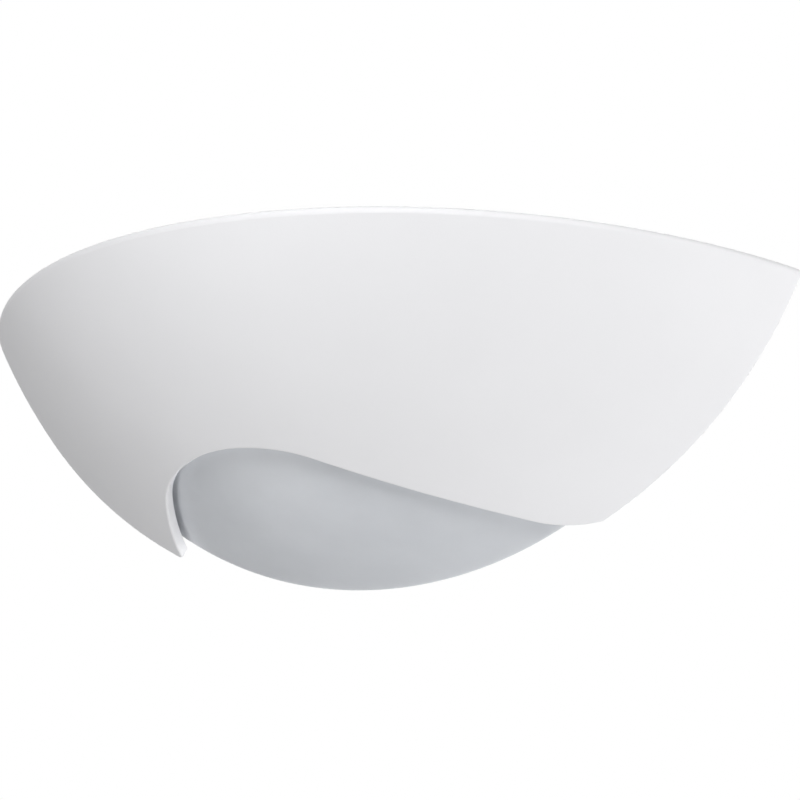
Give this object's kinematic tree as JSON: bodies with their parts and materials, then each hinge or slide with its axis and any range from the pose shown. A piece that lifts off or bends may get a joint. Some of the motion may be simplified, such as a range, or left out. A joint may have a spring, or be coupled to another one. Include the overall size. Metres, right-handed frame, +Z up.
{
  "type": "uplighter wall sconce",
  "caption": "Bowl-shaped ceramic uplighter for a wall, with a swept cut-out under it that shows a satin glass inner bowl.",
  "frame": {"origin": "centre of the wall plate's two screw slots, on the plate's back face", "axes": "+X along the wall to the right of someone who faces it, -Y out from the wall, +Z up"},
  "size_m": [0.3372, 0.1538, 0.1083],
  "materials": {
    "shell_ceramic": "matt white biscuit, painted",
    "satin_glass": "acid-etched satin",
    "clear_silicone": "matt",
    "zinc_steel": "zinc plated",
    "spring_steel": "bright",
    "white_steel": "white powder coat",
    "red_fibre": "vulcanised fibre",
    "black_rubber": "matt",
    "rivet_aluminium": "satin",
    "porcelain": "clear glaze",
    "contact_brass": "bright",
    "black_insulator": "gloss",
    "cap_nickel": "nickel plated",
    "lamp_plastic": "satin",
    "board_aluminium": "matt",
    "opal_plastic": "opal satin",
    "block_plastic": "satin",
    "brown_silicone": "satin",
    "blue_silicone": "satin",
    "green_silicone": "satin"
  },
  "bodies": {
    "wall_bracket": {"wall_plate": "white_steel", "cable_bush": "black_rubber", "lamp_arm": "white_steel", "arm_rivets": "rivet_aluminium", "lampholder": "porcelain", "holder_shell": "contact_brass", "holder_contact": "contact_brass", "holder_screws": "zinc_steel", "terminal_block": "block_plastic", "terminal_inserts": "contact_brass", "terminal_screws": "zinc_steel", "block_screw": "zinc_steel", "earth_screw": "contact_brass", "earth_washer": "zinc_steel", "earth_tag": "contact_brass", "live_lead": "brown_silicone", "neutral_lead": "blue_silicone", "earth_lead": "green_silicone"},
    "shade": {"ceramic_shell": "shell_ceramic", "glass_bowl": "satin_glass", "glass_pads": "clear_silicone", "hanger_strap": "zinc_steel", "lug_bolts": "zinc_steel", "lug_nuts": "zinc_steel", "rear_lug_washers": "red_fibre", "front_lug_washers": "red_fibre", "glass_clips": "spring_steel", "clip_pads": "clear_silicone"},
    "lamp": {"lamp_button": "contact_brass", "lamp_insulator": "black_insulator", "lamp_cap": "cap_nickel", "lamp_housing": "lamp_plastic", "lamp_board": "board_aluminium", "lamp_globe": "opal_plastic"}
  },
  "joints": [
    {"name": "shade_lift", "type": "slide", "parent": "wall_bracket", "child": "shade", "axis": [0, 0, 1], "range_m": [0, 0.01]},
    {"name": "lamp_out", "type": "slide", "parent": "wall_bracket", "child": "lamp", "axis": [1, 0, 0], "range_m": [0, 0.028]}
  ]
}
